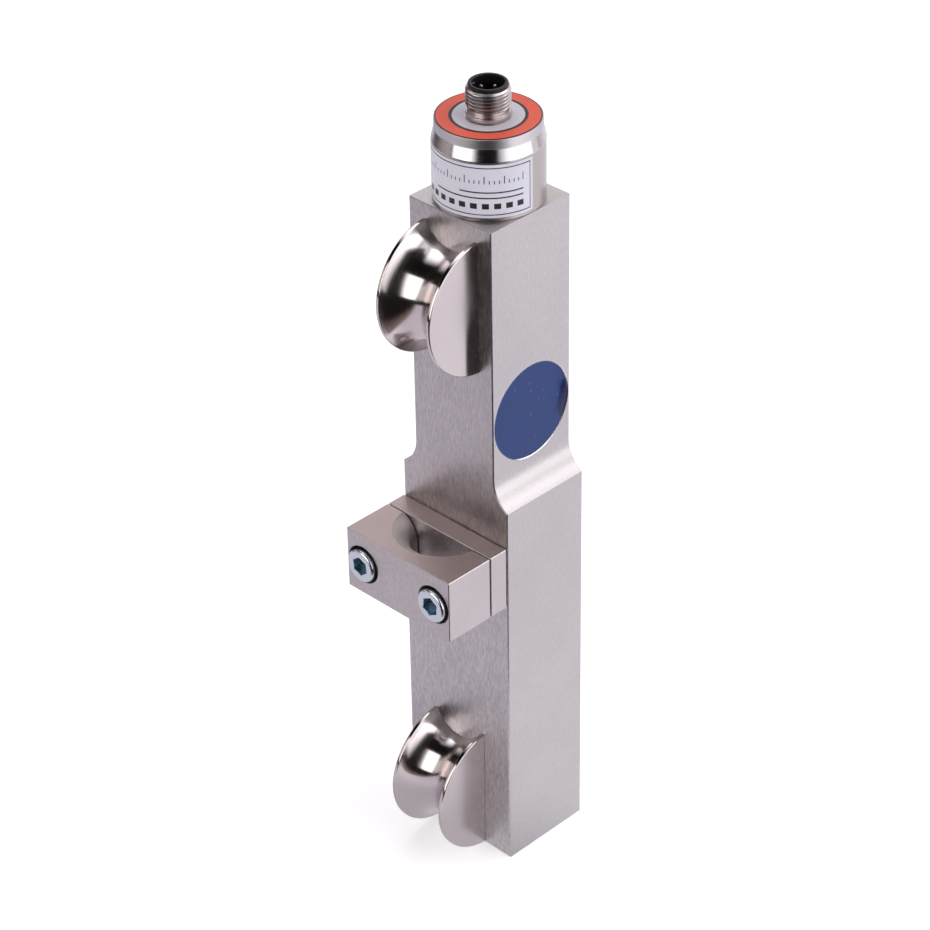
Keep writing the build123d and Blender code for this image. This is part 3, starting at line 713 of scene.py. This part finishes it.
# %% [markdown]
# ## Plastic, rubber, print
# The plug's insert is black moulded plastic, and the labels are printed polyester: a
# slightly glossy film over a flat colour. All of them are an even colour with a fine grain
# in their gloss, so one function makes them.

# %% Moulded finish


def moulded(name, colour, roughness, grain=900.0, relief=0.05, coat=0.0, low=0.94, high=1.06):
    """Plastic, rubber, print or lacquer: an even colour with a fine grain in its gloss."""
    made, tree, shader, place = start_material(name)
    clouds = use_group(tree, cloudiness, Vector=place, Scale=grain / 8, Low=low, High=high)
    tree.links.new(varied_colour(tree, colour, clouds.outputs[0]), shader.inputs["Base Color"])
    fine = use_group(tree, cloudiness, Vector=place, Scale=grain, Low=0.85, High=1.15)
    tree.links.new(math_node(tree, "MULTIPLY", roughness, fine.outputs[0]),
                   shader.inputs["Roughness"])
    bump = node(tree, "ShaderNodeBump",
                {"Height": fine.outputs[0], "Strength": relief, "Distance": FINE_RELIEF})
    tree.links.new(bump.outputs[0], shader.inputs["Normal"])
    shader.inputs["Coat Weight"].default_value = coat
    return made


# %% [markdown]
# ## Casting resin
# The gauge pocket is filled with a deep blue casting resin. Its surface is glossy, with a
# few specks that settled before it set: the cells of a Voronoi texture, of which only some
# are picked. Its far end is painted dark, as a painted shade. That end is the inside of a
# leaning ellipse, whose edge a little noise makes ragged.

# %% Resin finish
SPECK_CELLS = 520.0
SPECK_CORE, SPECK_END = 0.10, 0.28
SPECK_PICK = 0.70
RAGGED = 0.12
SHADED_END_MIDDLE = (0, 13.1 * MM, 144.0 * MM)
SHADED_END_HALF = (1, 2.3 * MM, 5.9 * MM)
SHADED_END_LEAN = math.radians(-12)
SHADED_END_BLUR = 0.06
SHADED_END_COLOUR = (0.0, 0.006, 0.068, 1)
SPECK_COLOUR = (0.035, 0.085, 0.29, 1)


def cast_resin(name, colour):
    """Glossy blue casting resin with settled specks and a painted shade at its far end."""
    made, tree, shader, place = start_material(name)
    specks = node(tree, "ShaderNodeTexVoronoi", {"Vector": place, "Scale": SPECK_CELLS})
    near = map_range(tree, specks.outputs["Distance"], SPECK_CORE, SPECK_END, 1.0, 0.0)
    pick = node(tree, "ShaderNodeSeparateColor", {0: specks.outputs["Color"]})
    few = math_node(tree, "GREATER_THAN", pick.outputs[0], SPECK_PICK)
    mask = math_node(tree, "MULTIPLY", near, few)
    clouds = use_group(tree, cloudiness, Vector=place, Scale=120.0, Low=0.94, High=1.06)
    base = varied_colour(tree, colour, clouds.outputs[0])
    mixed = blend(tree, mask, base, SPECK_COLOUR)
    # Painted shade: the far end of the disc is coloured dark.
    around = node(tree, "ShaderNodeMapping", {"Vector": place, "Location": SHADED_END_MIDDLE,
                                              "Rotation": (SHADED_END_LEAN, 0, 0),
                                              "Scale": SHADED_END_HALF}, vector_type="TEXTURE")
    away = vector_math(tree, "LENGTH", around.outputs[0])
    ragged = use_group(tree, cloudiness, Vector=place, Scale=900.0, Low=-RAGGED, High=RAGGED)
    rough_away = math_node(tree, "ADD", away, ragged.outputs[0])
    clear = map_range(tree, rough_away, 1.0 - SHADED_END_BLUR, 1.0 + SHADED_END_BLUR, 1.0, 0.0)
    tree.links.new(blend(tree, clear, mixed, SHADED_END_COLOUR), shader.inputs["Base Color"])
    swell = use_group(tree, cloudiness, Vector=place, Scale=160.0, Low=0.0, High=1.0)
    bump = node(tree, "ShaderNodeBump", {"Height": swell.outputs[0], "Strength": 0.05,
                                         "Distance": FINE_RELIEF})
    tree.links.new(bump.outputs[0], shader.inputs["Normal"])
    shader.inputs["Roughness"].default_value = 0.05
    shader.inputs["Specular IOR Level"].default_value = 0.40
    return made


# %% The other materials
resin = cast_resin("blue_resin", (0.001, 0.030, 0.168, 1))
black_plastic = moulded("black_moulding", (0.010, 0.008, 0.012, 1), 0.42)
black_plastic.node_tree.nodes["Principled BSDF"].inputs["Specular IOR Level"].default_value = 0.3
rubber = moulded("seal_rubber", (0.02, 0.02, 0.02, 1), 0.6)
laminate = moulded("board_laminate", (0.02, 0.16, 0.07, 1), 0.35, coat=0.3)
insulation = moulded("wire_insulation", (0.45, 0.03, 0.03, 1), 0.4)
orange_print = moulded("orange_print", (0.84, 0.125, 0.073, 1), 0.42, low=0.98, high=1.02)
pale_print = moulded("pale_print", (0.68, 0.64, 0.69, 1), 0.36, low=0.98, high=1.02)
dark_print = moulded("dark_print", (0.035, 0.026, 0.030, 1), 0.36, low=0.95, high=1.05)
silver_film = moulded("silver_film", (0.76, 0.735, 0.83, 1), 0.36, low=0.98, high=1.02)
for print_film in (orange_print, pale_print, dark_print, silver_film):
    print_film.node_tree.nodes["Principled BSDF"].inputs["Specular IOR Level"].default_value = 0.25
print("materials:", len(bpy.data.materials))

# %% [markdown]
# ## Dressing the frame
# The solids of the frame keep their shape and get a finish.

# %% Give the carried-over pieces their finish


def dress(material, *names):
    """Puts a material on CAD nodes."""
    for name in names:
        for slot in nodes[name].material_slots:
            slot.material = material


dress(body_steel, "sensor_body")
dress(clamp_steel, "clamp_base_plate", "clamp_jaw")
dress(zinc_steel, "deflector_screws", "clamp_screws", "housing_screws", "board_screws")
dress(resin, "right_potting", "left_potting")
dress(sleeve_steel, "housing_sleeve")
dress(housing_steel, "housing_cap")
dress(rubber, "housing_seal", "cap_seal", "nut_seal")
dress(plated_brass, "connector_shell", "connector_nut", "board_standoffs")
dress(black_plastic, "connector_insert", "amplifier_chip")
dress(gold, "contact_pins")
dress(foil, "strain_gauges", "gauge_terminals")
dress(insulation, "gauge_wires", "pin_wires")
dress(laminate, "circuit_board")
dress(can, "board_capacitors")
dress(orange_print, "cap_label")
dress(silver_film, "side_label")
print("dressed:", len(nodes), "nodes")

# %% [markdown]
# ## Rope deflectors
# A deflector is turned from round bar: flat flanges, a deep round groove, and a bevel on
# each rim. Then it is cut flat and screwed to the bar. The same steps work here: draw half
# the section, spin it about the deflector's axis, bevel the rims, and cut it with a plane.
# The mirror finish shows every facet, so the spin has many steps.

# %% Deflectors
GROOVE_RADIUS = 9.8 * MM
GROOVE_DEPTH = 5.6 * MM
RIM_EDGE = 0.35 * MM
LAND_EDGE = 0.10 * MM
SEAT_EDGE = 0.12 * MM
GROOVE_STEPS = 40
SPIN_STEPS = 240
SLACK = 1e-6


def deflector(name):
    """A polished, grooved disc about X that ends at the bar's front face."""
    low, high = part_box(name)
    radius = (high.z - low.z) / 2
    centre = Vector((0, low.y + radius, (low.z + high.z) / 2))
    half = high.x
    land = math.sqrt(2 * GROOVE_RADIUS * GROOVE_DEPTH - GROOVE_DEPTH**2)
    groove_centre = radius - GROOVE_DEPTH + GROOVE_RADIUS
    reach = math.asin(land / GROOVE_RADIUS)
    outline = [(half, 0), (half, radius)]
    for step in range(GROOVE_STEPS + 1):
        angle = reach * (1 - 2 * step / GROOVE_STEPS)
        outline.append((GROOVE_RADIUS * math.sin(angle),
                        groove_centre - GROOVE_RADIUS * math.cos(angle)))
    outline += [(-half, radius), (-half, 0)]
    bm = bmesh.new()
    lathe(bm, [centre + Vector((x, 0, r)) for x, r in outline], SPIN_STEPS, centre, (1, 0, 0))
    for x, size in ((half, RIM_EDGE), (land, LAND_EDGE)):
        rims = [e for e in bm.edges if all(
            abs(abs(v.co.x) - x) < SLACK and
            math.hypot(v.co.y - centre.y, v.co.z - centre.z) > radius - SLACK for v in e.verts)]
        break_edges(bm, rims, size, 4)
    cut = bmesh.ops.bisect_plane(bm, geom=bm.verts[:] + bm.edges[:] + bm.faces[:],
                                 plane_co=(0, high.y, 0), plane_no=(0, 1, 0), clear_outer=True)
    border = [e for e in cut["geom_cut"] if isinstance(e, bmesh.types.BMEdge)]
    bmesh.ops.holes_fill(bm, edges=border)
    break_edges(bm, border, SEAT_EDGE, 1)
    finish = turned_steel("polished_" + name, (0.64, 0.578, 0.570, 1), 0.16, centre=tuple(centre),
                          tilt=(0, math.radians(90), 0), axis=(1, 0, 0), pitch=1800.0, depth=0.05,
                          contrast=0.015, stretch=0.85, face_wear=1.25)
    made = object_of("polished_" + name, bm, finish)
    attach(made, "root")
    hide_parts(name)
    print(name, "radius in mm:", round(radius / MM, 2), "land from", round(land / MM, 2))


for name in ("upper_deflector", "lower_deflector"):
    deflector(name)

# %% [markdown]
# ## Housing
# The sleeve is a cup turned from tube, and its solid from the frame is enough. The cap has
# a short band, a slope and an upright lip, and light catches the small breaks on their
# edges. So the cap's outline is spun again, and each corner gets a fine bevel.

# %% Cap
CAP_HOLE = 5.45 * MM
CAP_EDGE = 0.12 * MM
CAP_BAND = 0.35 * MM
CAP_SLOPE = 3.35 * MM
CAP_LIP = 2.65 * MM
LIP_INSET = 0.8 * MM
TURN_STEPS = 192
CORNER = math.radians(12)


def spun(outline, steps, edge):
    """A bmesh from a closed outline of (radius, height) spun about Z, with bevelled corners."""
    bm = bmesh.new()
    lathe(bm, [(r, 0, z) for r, z in outline], steps, closed=True)
    bmesh.ops.recalc_face_normals(bm, faces=bm.faces)
    corners = [e for e in bm.edges if len(e.link_faces) == 2 and e.calc_face_angle() > CORNER]
    break_edges(bm, corners, edge, 3)
    return bm


_, cap_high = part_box("housing_cap")
cap_radius = cap_high.x
lip_radius = cap_radius - LIP_INSET
cap_top = cap_high.z
lip_low = cap_top - CAP_LIP
band_high = lip_low - CAP_SLOPE
band_low = band_high - CAP_BAND
outline = [(CAP_HOLE, band_low), (cap_radius, band_low), (cap_radius, band_high),
           (lip_radius, lip_low), (lip_radius, cap_top), (CAP_HOLE, cap_top)]
cap = object_of("turned_cap", spun(outline, TURN_STEPS, CAP_EDGE), housing_steel)
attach(cap, "root")
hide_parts("housing_cap")
print("cap from", round(band_low / MM, 2), "to", round(cap_top / MM, 2))

# %% [markdown]
# ## Connector
# The shell carries a fine metric thread. A thread is one zigzag outline that climbs by its
# pitch in each turn, so the outline is spun once with a rise of one pitch, and the turns
# join up by themselves. Two planes then trim the ends, and the first and last turns are
# drawn in to cones, as a lathe chamfers them. The smooth barrel inside closes the shell.

# %% Thread
THREAD_PITCH = 1.0 * MM
THREAD_DEPTH = 0.50 * MM
CREST_SHARE = 0.18
FOOT_HEIGHT = 1.6 * MM
NECK_RADIUS = 5.5 * MM
NECK_HEIGHT = 1.2 * MM
SHELL_CHAMFER = 0.5 * MM
THREAD_STEPS = 120
THREAD_WELD = 2e-6
TURNS_BELOW, TURNS_MORE = 1.5, 3

_, shell_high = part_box("connector_shell")
shell_radius = shell_high.x
foot_high = cap_top + FOOT_HEIGHT
thread_low = foot_high + NECK_HEIGHT
shell_top = shell_high.z

bm = bmesh.new()
turns = int((shell_top - thread_low) / THREAD_PITCH) + TURNS_MORE
outline = []
for turn_index in range(turns):
    base = thread_low + (turn_index - TURNS_BELOW) * THREAD_PITCH
    root = shell_radius - THREAD_DEPTH
    shape = ((shell_radius, -CREST_SHARE / 2), (shell_radius, CREST_SHARE / 2),
             (root, 0.5 - CREST_SHARE / 2), (root, 0.5 + CREST_SHARE / 2))
    outline += [(r, base + share * THREAD_PITCH) for r, share in shape]
points = [bm.verts.new((r, 0, z)) for r, z in outline]
edges = [bm.edges.new(pair) for pair in zip(points, points[1:])]
bmesh.ops.spin(bm, geom=points + edges, cent=(0, 0, 0), axis=(0, 0, 1), angle=2 * math.pi,
               steps=THREAD_STEPS, dvec=(0, 0, THREAD_PITCH / THREAD_STEPS))
bmesh.ops.remove_doubles(bm, verts=bm.verts, dist=THREAD_WELD)
print("thread turns:", turns)

# %% Thread ends
LEAD_IN, LEAD_SLOPE = 0.1 * MM, 1.2
for height, sign in ((thread_low, -1), (shell_top, 1)):
    bmesh.ops.bisect_plane(bm, geom=bm.verts[:] + bm.edges[:] + bm.faces[:],
                           plane_co=(0, 0, height), plane_no=(0, 0, sign), clear_outer=True)
for vert in bm.verts:
    radius = math.hypot(vert.co.x, vert.co.y)
    top_limit = shell_radius - SHELL_CHAMFER + (shell_top - vert.co.z)
    low_limit = NECK_RADIUS - LEAD_IN + (vert.co.z - thread_low) * LEAD_SLOPE
    limit = min(top_limit, low_limit)
    if radius > limit:
        vert.co.x *= limit / radius
        vert.co.y *= limit / radius
bmesh.ops.bridge_loops(bm, edges=[e for e in bm.edges if e.is_boundary])
thread = object_of("connector_thread", bm, threaded_brass, weighted=False)
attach(thread, "root")
print("thread from", round(thread_low / MM, 2), "mm")

# %% Barrel
BORE_RADIUS = 4.85 * MM
BARREL_GAP = 0.05 * MM
BARREL_EDGE = 0.10 * MM
BRIGHT_RIM = 0.2 * MM
barrel_radius = shell_radius - THREAD_DEPTH - BARREL_GAP
outline = [(BORE_RADIUS, cap_top), (shell_radius, cap_top), (shell_radius, foot_high),
           (NECK_RADIUS, foot_high), (NECK_RADIUS, thread_low), (barrel_radius, thread_low),
           (barrel_radius, shell_top), (BORE_RADIUS, shell_top)]
bm = spun(outline, THREAD_STEPS, BARREL_EDGE)
for face in bm.faces:
    face.material_index = int(foot_high < face.calc_center_median().z < shell_top - BRIGHT_RIM)
barrel = object_of("connector_barrel", bm, plated_brass, threaded_brass)
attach(barrel, "root")
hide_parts("connector_shell")
print("shell's top in mm:", round(shell_top / MM, 2))

# %% [markdown]
# ## Clamp screws
# Socket head screws are cold headed, so the top edge of the head is well rounded, and the
# hexagon has a small lead-in. The head is spun from its outline. The hexagon is a circle
# of six points, divided as finely as the spin, so that the two loops bridge cleanly.

# %% One socket head screw
HEX_STEPS = 12
SHANK, LENGTH = 3.0 * MM, 30.0 * MM
HEAD_RADIUS, HEAD_HEIGHT, HEAD_EDGE = 5.0 * MM, 6.0 * MM, 0.75 * MM
SOCKET_WIDTH, SOCKET_DEPTH = 5.0 * MM, 3.0 * MM
LEAD_WIDTH, LEAD_DROP = 1.06, 0.15


def add_screw(bm, place):
    """Adds one socket head screw to a bmesh: its head stands on z = 0 before it is placed."""
    corner = SOCKET_WIDTH / 2 / math.cos(math.radians(30))
    outline = [(0, -LENGTH), (SHANK, -LENGTH), (SHANK, 0), (HEAD_RADIUS, 0),
               (HEAD_RADIUS, HEAD_HEIGHT), (corner * LEAD_WIDTH, HEAD_HEIGHT)]
    one = bmesh.new()
    lathe(one, [(r, 0, z) for r, z in outline], 6 * HEX_STEPS)
    rim = [e for e in one.edges if all(
        v.co.z > HEAD_HEIGHT - WELD and
        math.hypot(v.co.x, v.co.y) > HEAD_RADIUS - SLACK for v in e.verts)]
    break_edges(one, rim, HEAD_EDGE, 6)
    mouth = [e for e in one.edges if e.is_boundary]
    hexagon = bmesh.ops.create_circle(one, segments=6, radius=corner)["verts"]
    bmesh.ops.translate(one, verts=hexagon, vec=(0, 0, HEAD_HEIGHT - LEAD_DROP * HEAD_EDGE))
    sides = list({e for v in hexagon for e in v.link_edges})
    bmesh.ops.subdivide_edges(one, edges=sides, cuts=HEX_STEPS - 1)
    ring = [e for e in one.edges if e.is_wire]
    bmesh.ops.bridge_loops(one, edges=mouth + ring)
    wall = bmesh.ops.extrude_edge_only(one, edges=ring)
    low = [v for v in wall["geom"] if isinstance(v, bmesh.types.BMVert)]
    bmesh.ops.translate(one, verts=low, vec=(0, 0, -SOCKET_DEPTH))
    floor_edges = [e for e in wall["geom"] if isinstance(e, bmesh.types.BMEdge) and e.is_boundary]
    bmesh.ops.holes_fill(one, edges=floor_edges)
    bmesh.ops.recalc_face_normals(one, faces=one.faces)
    for face in one.faces:
        inside = all(math.hypot(v.co.x, v.co.y) < corner * 1.001 for v in face.verts)
        face.material_index = int(inside)
    one.transform(place)
    mesh = bpy.data.meshes.new("one screw")
    one.to_mesh(mesh)
    one.free()
    bm.from_mesh(mesh)
    bpy.data.meshes.remove(mesh)


# %% The two clamp screws
screw_low, screw_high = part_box("clamp_screws")
spread = screw_high.x - HEAD_RADIUS
height = (screw_low.z + screw_high.z) / 2
towards = Matrix.Rotation(math.radians(90), 4, "X")
bm = bmesh.new()
for side, turn in ((-1, 8), (1, -3)):
    seat = Matrix.Translation((side * spread, screw_low.y + HEAD_HEIGHT, height))
    add_screw(bm, seat @ towards @ Matrix.Rotation(math.radians(turn), 4, "Z"))
screws = object_of("clamp_socket_screws", bm, zinc_steel, zinc_socket)
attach(screws, "root")
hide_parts("clamp_screws")
print("screws", round(2 * spread / MM, 1), "mm apart")

# %% [markdown]
# ## Resin
# Poured resin creeps a little way up the wall before it sets, so each disc is slightly
# hollow, and its rim turns up. That rim catches a dark line on one side and a bright one
# on the other. The outline of half the disc is spun about the pocket's axis.

# %% Resin discs
RESIN_HOLLOW = 0.14 * MM
CREEP_WIDTH = 0.5 * MM
CREEP_CURVE = 2.2
CREEP_STEPS = 8
RESIN_STEPS = 128


def resin_disc(name, side):
    """The resin in one gauge pocket, which fills the CAD solid's box."""
    low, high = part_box(name)
    radius = (high.z - low.z) / 2
    centre = Vector((0, 0, (low.z + high.z) / 2))
    brim = high.x if side > 0 else -low.x
    floor_x = low.x if side > 0 else -high.x
    hollow = brim - RESIN_HOLLOW
    outline = [(hollow, 0), (hollow, radius - CREEP_WIDTH)]
    for step in range(1, CREEP_STEPS + 1):
        share = step / CREEP_STEPS
        outline.append((hollow + RESIN_HOLLOW * share**CREEP_CURVE,
                        radius - CREEP_WIDTH * (1 - share)))
    outline += [(floor_x, radius), (floor_x, 0)]
    bm = bmesh.new()
    lathe(bm, [centre + Vector((side * x, 0, r)) for x, r in outline], RESIN_STEPS, centre,
          (1, 0, 0))
    made = object_of("cast_" + name, bm, resin)
    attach(made, "root")
    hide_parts(name)
    print(name, "hollow of", round(RESIN_HOLLOW / MM, 2), "mm")


for name, side in (("right_potting", 1), ("left_potting", -1)):
    resin_disc(name, side)

# %% [markdown]
# ## Round label
# The cap's label is a round print: an orange field, a dark ring and a pale middle. The rings
# are cut into the mesh itself, so that their edges stay crisp at any distance. Each one is a
# radius and the material that starts there.

# %% Round label
LABEL_HOLE = 6.4 * MM
LABEL_STEPS = 128
label_low, label_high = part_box("cap_label")
label_radius = label_high.x
rings = ((LABEL_HOLE, 1), (9.5 * MM, 2), (10.4 * MM, 0), (13.72 * MM, 2), (label_radius, 2))
bm = bmesh.new()
outline = [(r, 0, label_high.z) for r, _ in rings]
outline += [(label_radius, 0, label_low.z), (LABEL_HOLE, 0, label_low.z)]
lathe(bm, outline, LABEL_STEPS, closed=True)
for face in bm.faces:
    middle = math.hypot(*face.calc_center_median().xy)
    for radius, index in rings:
        if middle > radius * 0.999:
            face.material_index = index
label = object_of("round_label", bm, orange_print, pale_print, dark_print, weighted=False)
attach(label, "root")
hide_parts("cap_label")
print("round label's radius in mm:", round(label_radius / MM, 2))

# %% [markdown]
# ## Side label
# A silver film is wrapped half round the sleeve, with a plain frame, a scale of ticks and a
# few rules on it. The film is a line spun round the bar's axis in steps of one degree, so
# it is a grid, and each face of the grid is printed or bare. The rows are heights from its
# lower edge, and what is printed in a row is said in degrees from the start of its field.

# %% Wrapped label
LABEL_START = 2
LABEL_DEGREES = 190
FRAME_INSET = 3
FRAME_GAP, FRAME_LINE = 0.8 * MM, 0.30 * MM
FIELD_START, FIELD_END = 12, 172
DASH_STEP, DASH_WIDTH = 12, 7
LONG_RULE, SHORT_RULE = 96, 66
TICK_STEP, LONG_TICK_STEP = 5, 20
FILM = 0.14 * MM
wrap_low, wrap_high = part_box("side_label")
wrap_radius = wrap_high.x
tall = wrap_high.z - wrap_low.z
rows = [0, FRAME_GAP, FRAME_GAP + FRAME_LINE, 2.6 * MM, 4.2 * MM, 5.6 * MM, 6.0 * MM, 7.2 * MM,
        7.6 * MM, 9.2 * MM, 9.9 * MM, 10.9 * MM, 12.1 * MM, tall - FRAME_GAP - FRAME_LINE,
        tall - FRAME_GAP, tall]


def printed(degree, row):
    """Whether the film is dark at a step round the label and a row of its height."""
    last = LABEL_DEGREES - FRAME_INSET - 1
    if degree < FRAME_INSET or degree > last:
        return False
    if row in (1, 13) or (degree in (FRAME_INSET, last) and 1 <= row <= 13):
        return True
    inside = degree - FIELD_START
    if inside < 0 or degree > FIELD_END:
        return False
    if row == 3:
        return inside % DASH_STEP < DASH_WIDTH
    if row == 5:
        return inside < LONG_RULE
    if row == 7:
        return inside < SHORT_RULE
    if row == 10:
        return inside % TICK_STEP == 0
    return row == 11 and inside % LONG_TICK_STEP == 0


bm = bmesh.new()
angle = math.radians(LABEL_START)
across, along = wrap_radius * math.cos(angle), wrap_radius * math.sin(angle)
points = [bm.verts.new((across, along, wrap_low.z + h)) for h in rows]
edges = [bm.edges.new(pair) for pair in zip(points, points[1:])]
bmesh.ops.spin(bm, geom=points + edges, cent=(0, 0, 0), axis=(0, 0, -1),
               angle=math.radians(LABEL_DEGREES), steps=LABEL_DEGREES)
for face in bm.faces:
    middle = face.calc_center_median()
    degree = int((LABEL_START - math.degrees(math.atan2(middle.y, middle.x))) % 360)
    row = sum(1 for h in rows if middle.z > wrap_low.z + h) - 1
    face.material_index = int(printed(degree, row))
back = bmesh.ops.extrude_face_region(bm, geom=bm.faces[:], use_keep_orig=True)
for vert in [v for v in back["geom"] if isinstance(v, bmesh.types.BMVert)]:
    vert.co.x *= 1 - FILM / wrap_radius
    vert.co.y *= 1 - FILM / wrap_radius
wrap = object_of("wrapped_label", bm, silver_film, dark_print, weighted=False)
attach(wrap, "root")
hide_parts("side_label")
print("wrapped label faces:", len(wrap.data.polygons))
